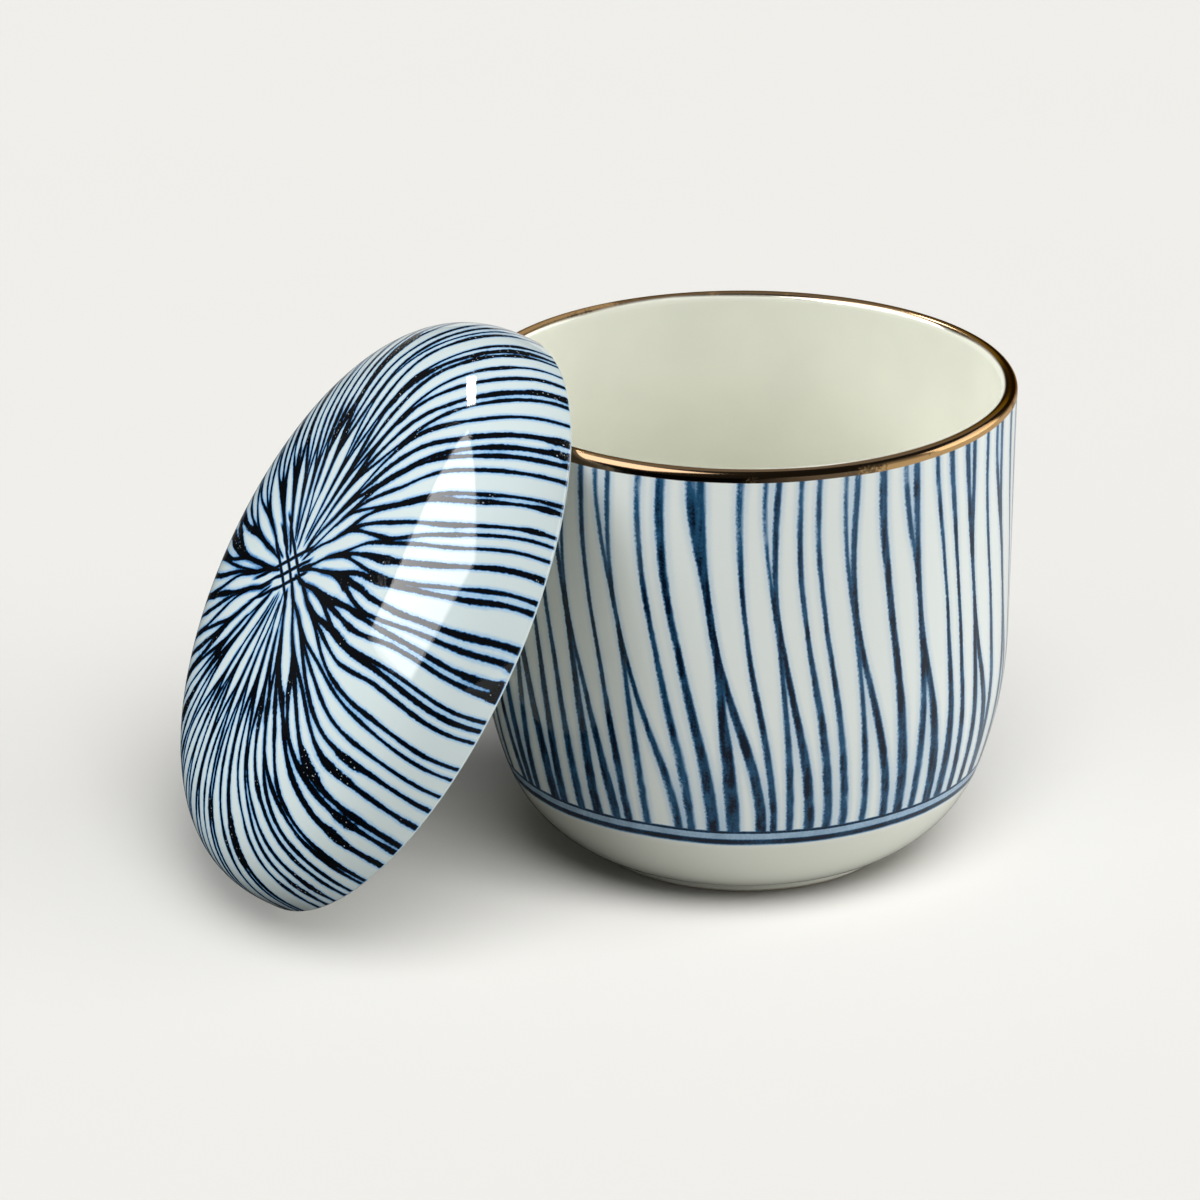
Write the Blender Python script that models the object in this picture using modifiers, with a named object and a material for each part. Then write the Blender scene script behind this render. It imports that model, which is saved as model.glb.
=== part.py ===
"""Chawanmushi bowl: a turned porcelain cup with a domed cover lid.

The lid is off the bowl. It stands on its rim and leans on the bowl's lip, and it lifts
straight up from there. The floor is z = 0, the lean lies in the XZ plane, and the origin
is at the middle of the whole object's footprint.
"""
import math

import bpy
import numpy as np

MM = 0.001

# Bowl, from the lip down
RIM_RADIUS = 40.0 * MM
BOWL_HEIGHT = 72.4 * MM
LIP_THICKNESS = 2.4 * MM
WALL_THICKNESS = 3.0 * MM
WALL_TAPER = 0.8 * MM
BELLY_HEIGHT = 34.0 * MM
BASE_HEIGHT = 14.0 * MM
BASE_RADIUS = 35.5 * MM
BASE_THICKNESS = 3.6 * MM
FLOOR_THICKNESS = 3.4 * MM
FOOT_RADIUS = 22.4 * MM
FOOT_HEIGHT = 1.0 * MM
FOOT_WIDTH = 3.2 * MM
FOOT_CHAMFER = 0.4 * MM
FOOT_RECESS = 1.8 * MM

# Lid: a dome whose fullness numbers square off its side and its crown (2 is an ellipse)
LID_RADIUS = 45.5 * MM
LID_RISE = 19.9 * MM
LID_EDGE_THICKNESS = 1.6 * MM
LID_CROWN_THICKNESS = 3.0 * MM
SIDE_FULLNESS = 3.5
CROWN_FULLNESS = 2.5

# How the lid leans on the bowl
LEAN_ANGLE = math.radians(60.2)
CLEARANCE = 0.3 * MM
LEAN_PASSES = 60

# Fineness of the turned surfaces
TURN_STEPS = 72
ARC_POINTS = 8
EDGE_POINTS = 8
DOME_POINTS = 20
CROWN_CROWDING = 1.7
MERGE_DISTANCE = 0.01 * MM

BOWL_GLAZE = (0.70, 0.74, 0.72, 1.0)
LID_GLAZE = (0.73, 0.79, 0.82, 1.0)
GLAZE_ROUGHNESS = 0.12


def heading_between(start, end):
    """Unit direction from one profile point (radius, height) to another."""
    length = math.dist(start, end)
    return (end[0] - start[0]) / length, (end[1] - start[1]) / length


def arc(start, heading, radius, turn):
    """Points after start on an arc that turns clockwise, and the heading it ends with."""
    side = heading[1], -heading[0]
    points = []
    for step in range(1, ARC_POINTS + 1):
        angle = turn * step / ARC_POINTS
        ahead = radius * math.sin(angle)
        across = radius * (1 - math.cos(angle))
        points.append((start[0] + ahead * heading[0] + across * side[0],
                       start[1] + ahead * heading[1] + across * side[1]))
    end_heading = (math.cos(turn) * heading[0] + math.sin(turn) * side[0],
                   math.cos(turn) * heading[1] + math.sin(turn) * side[1])
    return points, end_heading


def arc_to_point(start, heading, end):
    """The arc that leaves start along heading and passes through end."""
    chord = end[0] - start[0], end[1] - start[1]
    across = chord[0] * heading[1] - chord[1] * heading[0]
    along = chord[0] * heading[0] + chord[1] * heading[1]
    radius = math.dist(start, end) ** 2 / (2 * across)
    return arc(start, heading, radius, 2 * math.atan2(across, along))


def arc_to_level(start, heading, level):
    """The arc that leaves start along heading and runs out flat at a lower level."""
    radius = (start[1] - level) / (1 + heading[0])
    return arc(start, heading, radius, math.acos(-heading[0]))


def half_round(centre, thickness, start_angle):
    """Points of a rounded edge, turning half a circle clockwise from start_angle."""
    points = []
    for step in range(EDGE_POINTS + 1):
        angle = start_angle - math.pi * step / EDGE_POINTS
        points.append((centre[0] + thickness / 2 * math.cos(angle),
                       centre[1] + thickness / 2 * math.sin(angle)))
    return points


def bowl_profile():
    """Section of the bowl: inner floor, inner wall, lip, outer wall, foot ring and recess."""
    lip = RIM_RADIUS - LIP_THICKNESS / 2, BOWL_HEIGHT - LIP_THICKNESS / 2

    inner_top = RIM_RADIUS - LIP_THICKNESS, lip[1]
    inner_belly = RIM_RADIUS - WALL_TAPER - WALL_THICKNESS, BELLY_HEIGHT
    inner_base = BASE_RADIUS - BASE_THICKNESS, BASE_HEIGHT
    upper, heading = arc_to_point(inner_belly, heading_between(inner_top, inner_belly), inner_base)
    lower, _ = arc_to_level(inner_base, heading, FOOT_RECESS + FLOOR_THICKNESS)
    inside = [inner_belly, *upper, *lower, (0.0, FOOT_RECESS + FLOOR_THICKNESS)]

    outer_top = RIM_RADIUS, lip[1]
    outer_belly = RIM_RADIUS - WALL_TAPER, BELLY_HEIGHT
    upper, heading = arc_to_point(
        outer_belly, heading_between(outer_top, outer_belly), (BASE_RADIUS, BASE_HEIGHT))
    lower, _ = arc_to_point((BASE_RADIUS, BASE_HEIGHT), heading, (FOOT_RADIUS, FOOT_HEIGHT))
    outside = [outer_belly, *upper, *lower]

    foot_inner = FOOT_RADIUS - FOOT_WIDTH
    foot = [(FOOT_RADIUS, FOOT_CHAMFER), (FOOT_RADIUS - FOOT_CHAMFER, 0.0),
            (foot_inner + FOOT_CHAMFER, 0.0), (foot_inner, FOOT_CHAMFER),
            (foot_inner, FOOT_RECESS), (0.0, FOOT_RECESS)]
    return [*reversed(inside), *half_round(lip, LIP_THICKNESS, math.pi), *outside, *foot]


def dome(radius, rise):
    """Section of a dome from its crown to its edge, with points crowded towards the crown."""
    points = [(0.0, rise)]
    for step in range(1, DOME_POINTS):
        angle = math.pi / 2 * (step / DOME_POINTS) ** CROWN_CROWDING
        points.append((radius * math.sin(angle) ** (2 / SIDE_FULLNESS),
                       rise * math.cos(angle) ** (2 / CROWN_FULLNESS)))
    return points


def lid_profile():
    """Section of the lid: outer dome, rounded edge and inner dome. Its edge is at height 0."""
    edge = LID_RADIUS - LID_EDGE_THICKNESS / 2, 0.0
    outside = dome(LID_RADIUS, LID_RISE)
    inside = dome(LID_RADIUS - LID_EDGE_THICKNESS, LID_RISE - LID_CROWN_THICKNESS)
    return [*outside, *half_round(edge, LID_EDGE_THICKNESS, 0.0), *reversed(inside)]


def least_gap(points, profile):
    """Least distance from points (radius, height) to the line through a profile."""
    start, end = np.array(profile[:-1]), np.array(profile[1:])
    span = end - start
    offset = points[:, None] - start[None]
    share = np.clip((offset * span).sum(2) / (span ** 2).sum(1), 0, 1)
    return np.linalg.norm(offset - share[..., None] * span, axis=2).min()


def lean(lid, bowl):
    """Where the leaning lid's edge centre is: (distance from the bowl's axis, height)."""
    radius, height = np.array(lid).T
    sine, cosine = math.sin(LEAN_ANGLE), math.cos(LEAN_ANGLE)
    rise = -(height * cosine - radius * sine).min()

    turn = np.linspace(0, math.pi, TURN_STEPS + 1)[:, None]
    along = (radius * np.cos(turn) * cosine - height * sine).ravel()
    across = (radius * np.sin(turn)).ravel()
    level = (rise + height * cosine + radius * np.cos(turn) * sine).ravel()
    reach = RIM_RADIUS + 2 * LID_RADIUS
    for _ in range(LEAN_PASSES):
        from_axis = np.hypot(along - reach, across)
        reach -= least_gap(np.column_stack((from_axis, level)), bowl) - CLEARANCE
    return reach, rise


def glaze(name, colour):
    """A glossy porcelain glaze."""
    material = bpy.data.materials.new(name)
    material.use_nodes = True
    shader = material.node_tree.nodes["Principled BSDF"]
    shader.inputs["Base Color"].default_value = colour
    shader.inputs["Roughness"].default_value = GLAZE_ROUGHNESS
    shader.inputs["Metallic"].default_value = 0.0
    return material


def turned(name, profile, material, collection):
    """An object turned about Z from a profile that runs down its outer side."""
    mesh = bpy.data.meshes.new(name)
    edges = [(index, index + 1) for index in range(len(profile) - 1)]
    mesh.from_pydata([(radius, 0.0, height) for radius, height in profile], edges, [])
    mesh.materials.append(material)
    piece = bpy.data.objects.new(name, mesh)
    collection.objects.link(piece)
    screw = piece.modifiers.new("turn", 'SCREW')
    screw.axis = 'Z'
    screw.angle = 2 * math.pi
    screw.steps = TURN_STEPS
    screw.render_steps = TURN_STEPS
    screw.use_merge_vertices = True
    screw.merge_threshold = MERGE_DISTANCE
    screw.use_smooth_shade = True
    return piece


def main():
    for old in list(bpy.data.objects):
        bpy.data.objects.remove(old, do_unlink=True)
    collection = bpy.data.collections.new("chawanmushi_bowl")
    bpy.context.scene.collection.children.link(collection)

    bowl_section, lid_section = bowl_profile(), lid_profile()
    reach, rise = lean(lid_section, bowl_section)
    lid_overhang = max(height * math.sin(LEAN_ANGLE) + radius * math.cos(LEAN_ANGLE)
                       for radius, height in lid_section)
    bowl_x = (reach + lid_overhang - RIM_RADIUS) / 2

    bowl = turned("bowl", bowl_section, glaze("bowl_glaze", BOWL_GLAZE), collection)
    bowl.location = bowl_x, 0.0, 0.0

    lift = bpy.data.objects.new("lid_lift", None)
    collection.objects.link(lift)
    lift.location = bowl_x - reach, 0.0, rise
    lid = turned("lid", lid_section, glaze("lid_glaze", LID_GLAZE), collection)
    lid.parent = lift
    lid.rotation_euler = 0.0, -LEAN_ANGLE, 0.0


main()
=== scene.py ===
"""Chawanmushi bowl: a porcelain cup with brushed cobalt stripes and its leaning domed lid.

The cup and the lid are turned again as smooth pieces in the place of the CAD nodes, and their
brushwork is drawn by their materials. Lengths are metres, and the patterns work in millimetres.
"""
import math

import bmesh
import bpy
from mathutils import Matrix, Vector


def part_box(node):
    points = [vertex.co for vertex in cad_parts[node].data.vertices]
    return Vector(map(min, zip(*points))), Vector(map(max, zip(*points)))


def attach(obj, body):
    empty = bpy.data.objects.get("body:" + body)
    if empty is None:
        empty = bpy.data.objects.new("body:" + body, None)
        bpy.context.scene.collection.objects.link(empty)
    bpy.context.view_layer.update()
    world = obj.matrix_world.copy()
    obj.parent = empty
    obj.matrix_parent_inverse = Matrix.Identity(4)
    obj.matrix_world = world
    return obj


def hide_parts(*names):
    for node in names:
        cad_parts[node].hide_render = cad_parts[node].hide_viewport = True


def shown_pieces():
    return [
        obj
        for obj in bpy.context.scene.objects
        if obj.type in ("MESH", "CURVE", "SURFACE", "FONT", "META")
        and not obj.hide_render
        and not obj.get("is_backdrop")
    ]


bl_info = {
    "name": "Striped Chawanmushi Bowl",
    "version": (1, 0, 0),
    "blender": (4, 5, 0),
    "location": "View3D > Sidebar > Porcelain",
    "description": "Turns a lidded porcelain cup with brushed stripes and sets its studio",
    "category": "Object",
}

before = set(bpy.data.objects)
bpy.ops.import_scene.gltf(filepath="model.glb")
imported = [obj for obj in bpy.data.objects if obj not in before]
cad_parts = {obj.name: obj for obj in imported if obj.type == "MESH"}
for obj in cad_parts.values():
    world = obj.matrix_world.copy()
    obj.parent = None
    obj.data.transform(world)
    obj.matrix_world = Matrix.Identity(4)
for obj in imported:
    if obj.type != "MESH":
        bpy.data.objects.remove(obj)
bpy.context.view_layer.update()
bowl_low, bowl_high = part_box("bowl")
lid_low, lid_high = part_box("lid")

MM = 0.001

# Fineness of the turned pieces
WHEEL_STEPS = 240
ARC_STEPS = 16
EDGE_STEPS = 14
DOME_STEPS = 56
CROWN_CROWDING = 1.7
MERGE_DISTANCE = 0.005 * MM
CREASE_ANGLE = math.radians(40)

# How far inside a region's limit its outermost faces lie, and the rise of a normal that faces up
HAIR = 0.01
FACES_UP = 0.5

# Fired surfaces, with their patterns in millimetres
GLAZE_IOR = 1.5
RIPPLE_LENGTH = 7
GRAIN_LENGTH = 0.4
LATTICE_GAP = 2.0

# Studio
SHEET_SIDE = 20.0
FLOOR_DEPTH = 0.1 * MM
LAMP_AIM = Vector((0.0, 0.0, 40.0 * MM))
SENSOR_WIDTH = 36.0
CLIP_NEAR, CLIP_FAR = 0.01, 100.0
MATT = {"Roughness": 1.0, "Specular IOR Level": 0.0}
WHITE = (1.0, 1.0, 1.0, 1.0)


def linear(code):
    """An sRGB hex colour as linear RGBA."""
    shares = [int(code[place:place + 2], 16) / 255 for place in (0, 2, 4)]
    return (*(share / 12.92 if share <= 0.04045 else ((share + 0.055) / 1.055) ** 2.4
              for share in shares), 1.0)


def amount(name, description, default, **settings):
    """A number property that is never negative."""
    return bpy.props.FloatProperty(
        name=name, description=description, default=default, min=0.0, **settings)


def length(name, description, default):
    """A length property."""
    return amount(name, description, default, unit='LENGTH', precision=4)


def power(name, description, default):
    """A property for the power of a lamp."""
    return amount(name, description, default, unit='POWER')


def angle(name, description, degrees):
    """An angle property."""
    return bpy.props.FloatProperty(
        name=name, description=description, default=math.radians(degrees), unit='ROTATION')


def tally(name, description, default, least):
    """A property that counts strokes."""
    return bpy.props.IntProperty(name=name, description=description, default=default, min=least)


def colour(name, description, code):
    """A colour property."""
    return bpy.props.FloatVectorProperty(
        name=name, description=description, default=linear(code), size=4, min=0.0, max=1.0,
        subtype='COLOR')


class BowlSettings(bpy.types.PropertyGroup):
    """Sizes, brushwork and colours of the cup."""
    rim_radius: length("Rim radius", "Outer radius of the lip", (bowl_high.x - bowl_low.x) / 2)
    height: length("Height", "Height of the lip above the table", bowl_high.z)
    lip: length("Lip", "Thickness of the rounded lip", 2.4 * MM)
    wall: length("Wall", "Thickness of the wall at the belly", 3.0 * MM)
    taper: length("Taper", "How far the wall draws in from lip to belly", 0.8 * MM)
    belly_height: length("Belly height", "Where the wall starts to curve in", 34.0 * MM)
    base_height: length("Base height", "Where the base turns under", 14.0 * MM)
    base_radius: length("Base radius", "Radius where the base turns under", 35.5 * MM)
    base_wall: length("Base wall", "Thickness where the base turns under", 3.6 * MM)
    floor: length("Floor", "Thickness of the floor", 3.4 * MM)
    foot_radius: length("Foot radius", "Outer radius of the foot ring", 22.4 * MM)
    foot_height: length("Foot height", "Height of the foot ring", 1.0 * MM)
    foot_width: length("Foot width", "Width of the foot ring", 3.2 * MM)
    foot_chamfer: length("Foot chamfer", "Worn edge of the foot ring", 0.4 * MM)
    foot_recess: length("Foot recess", "Depth of the hollow in the foot", 1.8 * MM)
    strokes: tally("Strokes", "Brush strokes around the cup", 77, 7)
    drift: length("Drift", "How far the strokes lean from lip to base", 5.3 * MM)
    band: length("Lustre band", "Depth of the dark band on the lip", 1.7 * MM)
    upper_ring: length("Upper ring", "Height of the thin painted ring", 15.2 * MM)
    lower_ring: length("Lower ring", "Height of the broad painted ring", 13.5 * MM)
    glaze: colour("Glaze", "Clear glaze over the white body", "e3e9e6")
    base_glaze: colour("Base glaze", "Glaze below the rings", "dcddd2")
    inner_glaze: colour("Inner glaze", "Glaze inside the cup", "ecede0")
    wash: colour("Wash", "Pale cobalt that bleeds from a stroke", "a4bfd6")
    cobalt: colour("Cobalt", "Thin cobalt", "28587c")
    ink: colour("Ink", "Thick cobalt", "08172a")
    lustre: colour("Lustre", "Dark lustre of the lip", "74604a")
    gold: colour("Gold", "Worn patches of the lustre, and its tint aslant", "c19c6a")
    biscuit: colour("Biscuit", "Bare clay of the foot ring", "d8d0c0")


class LidSettings(bpy.types.PropertyGroup):
    """Sizes, brushwork and colours of the lid."""
    radius: length("Radius", "Outer radius of the edge", (lid_high.y - lid_low.y) / 2)
    rise: length("Rise", "Height of the dome over its edge", 19.9 * MM)
    edge: length("Edge", "Thickness of the rounded edge", 1.6 * MM)
    crown: length("Crown", "Thickness at the crown", 3.0 * MM)
    side_fullness: amount("Side fullness", "How square the side is; 2 is an ellipse", 3.5)
    crown_fullness: amount("Crown fullness", "How flat the crown is; 2 is an ellipse", 2.5)
    lean: angle("Lean", "Tilt of the lid on the cup", 60.2)
    bundles: tally("Bundles", "Bundles of strokes that meet at the crown", 33, 3)
    bundle_size: tally("Bundle size", "Strokes in a bundle", 3, 1)
    glaze: colour("Glaze", "Clear glaze over the white body", "d4e1e2")
    inner_glaze: colour("Inner glaze", "Glaze inside the lid", "eaeee4")
    wash: colour("Wash", "Pale cobalt that bleeds from a stroke", "98c2e4")
    cobalt: colour("Cobalt", "Thin cobalt", "2b6aa6")
    ink: colour("Ink", "Thick cobalt", "06080c")
    # The glint colour is a painted highlight: pale specks where pooled ink would sparkle
    painted_glint: colour("Glint", "Grains that catch the light in pooled ink", "c8d4d8")


class StageSettings(bpy.types.PropertyGroup):
    """Floor, lights and camera."""
    floor: colour("Floor", "Pale floor", "b7b6b3")
    # The dark end of the cards is painted: painted shade under the lid, and painted dark
    # reflections on the left
    card_painted_dark: colour("Dark card", "Dark end of the cards under the floor", "0c0c0c")
    card_pale: colour("Pale card", "Pale end of the cards under the floor", "aaaaa7")
    sky: colour("Sky", "Light from all around", "fffdf8")
    sky_strength: amount("Sky strength", "Brightness all around", 0.045)
    left_box: power("Left box", "Large soft box on the left", 68.0)
    window: power("Window", "Left box that only reflections show", 60.0)
    right_box: power("Right box", "Soft box on the right", 31.0)
    front_box: power("Front box", "Fill light beside the camera", 27.0)
    back_strip: power("Back strip", "Narrow light at the back", 15.0)
    back_wall: power("Back wall", "Wall that only the cup's reflections show", 20.0)
    paper_front: amount("Paper front light", "Light on the floor from the front", 3.15)
    paper_fill: amount("Paper fill light", "The share of it that the lid does not block", 1.7)
    paper_right: amount("Paper right light", "Light on the floor from the right", 2.0)
    paper_left: amount("Paper left light", "Light on the floor from the left", 0.43)
    reach: length("Reach", "From the object to the lights", 2.4)
    lens: amount("Lens", "Focal length of the camera", 239.96, unit='CAMERA')
    distance: length("Distance", "From the camera to what it looks at", 1.198)
    azimuth: angle("Azimuth", "Turn of the camera round the object", -15.2)
    elevation: angle("Elevation", "Height angle of the camera", 21.214)
    roll: angle("Roll", "Turn of the camera about its view", -0.17)
    target: bpy.props.FloatVectorProperty(
        name="Target", description="Point that the camera looks at",
        default=(4.91 * MM, 18.25 * MM, 32.37 * MM), unit='LENGTH', subtype='TRANSLATION')


# Sections

def heading_between(start, end):
    """Unit direction from one section point (radius, height) to another."""
    return (Vector(end) - Vector(start)).normalized()


def arc(start, heading, radius, turn):
    """Points after start on an arc that turns clockwise, and the heading it ends with."""
    side = Vector((heading.y, -heading.x))
    points = [Vector(start) + heading * radius * math.sin(turn * step / ARC_STEPS)
              + side * radius * (1 - math.cos(turn * step / ARC_STEPS))
              for step in range(1, ARC_STEPS + 1)]
    return points, heading * math.cos(turn) + side * math.sin(turn)


def arc_to_point(start, heading, end):
    """The arc that leaves start along heading and passes through end."""
    chord = Vector(end) - Vector(start)
    across = chord.x * heading.y - chord.y * heading.x
    radius = chord.length_squared / (2 * across)
    return arc(start, heading, radius, 2 * math.atan2(across, chord.dot(heading)))


def arc_to_level(start, heading, level):
    """The arc that leaves start along heading and runs out flat at a lower level."""
    radius = (start[1] - level) / (1 + heading.x)
    return arc(start, heading, radius, math.acos(-heading.x))


def half_round(centre, thickness, start_angle):
    """Points of a rounded edge, half a circle clockwise from start_angle."""
    turns = [start_angle - math.pi * step / EDGE_STEPS for step in range(EDGE_STEPS + 1)]
    return [(centre[0] + thickness / 2 * math.cos(turn),
             centre[1] + thickness / 2 * math.sin(turn)) for turn in turns]


def bowl_section(size):
    """Inner floor, inner wall, lip, outer wall, foot ring and recess of the cup."""
    lip = size.rim_radius - size.lip / 2, size.height - size.lip / 2
    floor_level = size.foot_recess + size.floor

    top, belly = (size.rim_radius - size.lip, lip[1]), (
        size.rim_radius - size.taper - size.wall, size.belly_height)
    base = size.base_radius - size.base_wall, size.base_height
    upper, heading = arc_to_point(belly, heading_between(top, belly), base)
    lower, _ = arc_to_level(base, heading, floor_level)
    inside = [belly, *upper, *lower, (0.0, floor_level)]

    top, belly = (size.rim_radius, lip[1]), (size.rim_radius - size.taper, size.belly_height)
    base = size.base_radius, size.base_height
    upper, heading = arc_to_point(belly, heading_between(top, belly), base)
    lower, _ = arc_to_point(base, heading, (size.foot_radius, size.foot_height))
    outside = [belly, *upper, *lower]

    inner = size.foot_radius - size.foot_width
    foot = [(size.foot_radius, size.foot_chamfer), (size.foot_radius - size.foot_chamfer, 0.0),
            (inner + size.foot_chamfer, 0.0), (inner, size.foot_chamfer),
            (inner, size.foot_recess), (0.0, size.foot_recess)]
    return [*reversed(inside), *half_round(lip, size.lip, math.pi), *outside, *foot]


def dome(radius, rise, size):
    """Section of a squared-off dome from its crown to its edge."""
    points = [(0.0, rise)]
    for step in range(1, DOME_STEPS):
        slope = math.pi / 2 * (step / DOME_STEPS) ** CROWN_CROWDING
        points.append((radius * math.sin(slope) ** (2 / size.side_fullness),
                       rise * math.cos(slope) ** (2 / size.crown_fullness)))
    return points


def lid_section(size):
    """Outer dome, rounded edge and inner dome of the lid, with its edge at height 0."""
    edge = size.radius - size.edge / 2, 0.0
    outside = dome(size.radius, size.rise, size)
    inside = dome(size.radius - size.edge, size.rise - size.crown, size)
    return [*outside, *half_round(edge, size.edge, 0.0), *reversed(inside)]


# Modelling

def turn_on_wheel(name, section, centre, axis, across):
    """Draws a section by extruding a point along it, and spins it once about an axis."""
    points = [centre + across * radius + axis * height for radius, height in section]
    bpy.ops.object.select_all(action='DESELECT')
    bpy.ops.mesh.primitive_plane_add(size=MM, location=points[0])
    piece = bpy.context.object
    piece.name = piece.data.name = name
    bpy.ops.object.mode_set(mode='EDIT')
    bpy.ops.mesh.select_mode(type='VERT')
    bpy.ops.mesh.merge(type='CENTER')
    for before, after in zip(points, points[1:]):
        bpy.ops.mesh.extrude_region_move(TRANSFORM_OT_translate={"value": after - before})
    bpy.ops.mesh.select_all(action='SELECT')
    bpy.ops.mesh.spin(steps=WHEEL_STEPS, angle=2 * math.pi, center=centre, axis=axis)
    bpy.ops.mesh.select_all(action='SELECT')
    bpy.ops.mesh.remove_doubles(threshold=MERGE_DISTANCE)
    bpy.ops.mesh.normals_make_consistent(inside=False)
    bpy.ops.object.mode_set(mode='OBJECT')
    bpy.ops.object.transform_apply(location=True, rotation=True, scale=True)
    bpy.ops.object.shade_smooth_by_angle(angle=CREASE_ANGLE)
    return piece


def coat(piece, material, belongs):
    """Gives a material to the faces whose middle and normal belong to its region."""
    piece.data.materials.append(material)
    piece.active_material_index = len(piece.data.materials) - 1
    bpy.ops.object.mode_set(mode='EDIT')
    bpy.ops.mesh.select_mode(type='FACE')
    bpy.ops.mesh.select_all(action='DESELECT')
    mesh = bmesh.from_edit_mesh(piece.data)
    chosen = [face for face in mesh.faces if belongs(face.calc_center_median(), face.normal)]
    if not chosen:
        raise RuntimeError(f"{piece.name}: no face takes {material.name}")
    for face in chosen:
        face.select_set(True)
    bmesh.update_edit_mesh(piece.data)
    bpy.ops.object.material_slot_assign()
    bpy.ops.object.mode_set(mode='OBJECT')


# Materials

def lay(tree, kind, inputs=(), **settings):
    """Adds a shader node with its settings, and links or sets its inputs by place or name."""
    node = tree.nodes.new("ShaderNode" + kind)
    for name, value in settings.items():
        setattr(node, name, value)
    for place, given in inputs.items() if isinstance(inputs, dict) else enumerate(inputs):
        if isinstance(given, bpy.types.NodeSocket):
            tree.links.new(given, node.inputs[place])
        else:
            node.inputs[place].default_value = given
    return node.outputs


def new_material(name):
    """An empty node material and its tree."""
    material = bpy.data.materials.new(name)
    material.use_nodes = True
    material.node_tree.nodes.clear()
    return material, material.node_tree


def set_stops(outputs, stops, interpolation='LINEAR'):
    """Sets the stops of a colour ramp from pairs of place and colour."""
    ramp = outputs[0].node.color_ramp
    ramp.interpolation = interpolation
    while len(ramp.elements) < len(stops):
        ramp.elements.new(1.0)
    for element, (place, shade) in zip(ramp.elements, stops):
        element.position, element.color = place, shade
    return outputs


def own_millimetres(tree, centre, lean):
    """Millimetres from a piece's centre, turned so that a leaning piece is upright."""
    where = lay(tree, "TexCoord")["Object"]
    return lay(tree, "Mapping", {
        "Vector": where, "Location": centre, "Rotation": (0.0, -lean, 0.0),
        "Scale": (MM, MM, MM)}, vector_type='TEXTURE')[0]


def glaze_skin(tree, spot):
    """The normal of a glaze that is not quite flat, with shallow ripples."""
    ripple = lay(tree, "TexNoise", {"Vector": spot, "Scale": 1 / RIPPLE_LENGTH,
                                    "Detail": 1.0})[0]
    return lay(tree, "Bump", {"Strength": 0.15, "Distance": 0.2 * MM, "Height": ripple})[0]


def patchy(tree, shade, width, detail, least):
    """A colour that thins to a least share in patches of a width, and the patches."""
    where = lay(tree, "TexCoord")["Object"]
    patch = lay(tree, "TexNoise", {"Vector": where, "Scale": 1 / width, "Detail": detail})[0]
    share = lay(tree, "MapRange", (patch, 0.3, 0.7, least, 1.0))[0]
    return lay(tree, "VectorMath", {0: shade[:3], "Scale": share}, operation='SCALE')[0], patch


def brushwork(tree, place, count, pitch, soft, stroke, reach, bleed):
    """Ink and wash of brush strokes that lie side by side.

    place counts strokes across the pattern, and each stroke within reach of a point is asked
    for its shift in strokes, its half width as negative millimetres and its strength.
    """
    first = lay(tree, "Math", (place,), operation='FLOOR')[0]
    part = lay(tree, "Math", (place, first), operation='SUBTRACT')[0]
    bare, wash = 1.0, 0.0
    for step in range(-reach, reach + 1):
        index = lay(tree, "Math", (first, step), operation='ADD')[0]
        index = lay(tree, "Math", (index, count), operation='FLOORED_MODULO')[0]
        shift, half_width, strength = stroke(index)
        away = lay(tree, "Math", (part, shift), operation='SUBTRACT')[0]
        away = lay(tree, "Math", (away, step), operation='SUBTRACT')[0]
        away = lay(tree, "Math", (away,), operation='ABSOLUTE')[0]
        outside = lay(tree, "Math", (away, pitch, half_width), operation='MULTIPLY_ADD')[0]
        core = lay(tree, "Math", (outside, soft), operation='DIVIDE')[0]
        core = lay(tree, "MapRange", (core, 0.5, -0.5, 0.0, 1.0),
                   interpolation_type='SMOOTHSTEP')[0]
        veil = lay(tree, "Math", (core, strength), operation='MULTIPLY')[0]
        veil = lay(tree, "Math", (1.0, veil), operation='SUBTRACT')[0]
        halo = lay(tree, "MapRange", (outside, bleed, 0.0, 0.0, 1.0),
                   interpolation_type='SMOOTHERSTEP')[0]
        bare = lay(tree, "Math", (bare, veil), operation='MULTIPLY')[0]
        wash = lay(tree, "Math", (halo, strength, wash), operation='MULTIPLY_ADD')[0]
    return lay(tree, "Math", (1.0, bare), operation='SUBTRACT')[0], wash


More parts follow.
